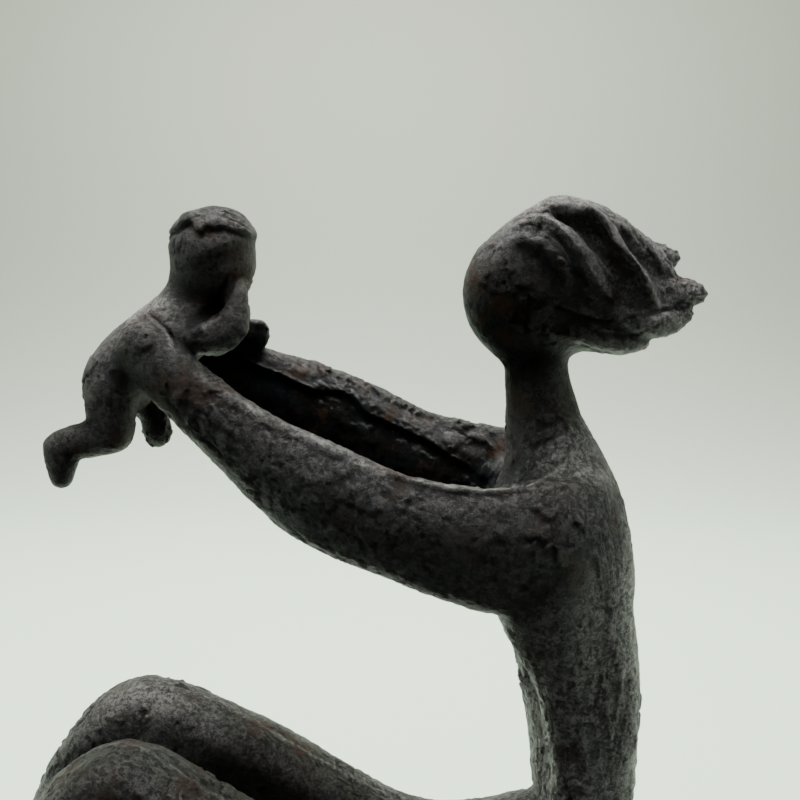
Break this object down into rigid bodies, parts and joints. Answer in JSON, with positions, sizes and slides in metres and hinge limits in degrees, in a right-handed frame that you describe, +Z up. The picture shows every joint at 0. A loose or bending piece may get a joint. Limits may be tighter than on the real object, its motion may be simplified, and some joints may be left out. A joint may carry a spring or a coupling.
{
  "type": "mother and child sculpture",
  "caption": "Tabletop bronze of a seated mother lifting her child at arm's length, hair blown back, on a low slab plinth.",
  "frame": {"origin": "centre of the plinth's underside", "axes": "+Z up, -X the way the mother faces, along the plinth's length, +Y towards the side away from the viewer"},
  "size_m": [0.402, 0.132, 0.3763],
  "materials": {
    "dark_bronze": "near-black patina over rough cast bronze, brown in the hollows and grey where it is rubbed",
    "plinth_bronze": "near-black patina over a rough cast slab"
  },
  "bodies": {
    "root": {"mother_and_child": "dark_bronze", "plinth": "plinth_bronze"}
  },
  "joints": []
}
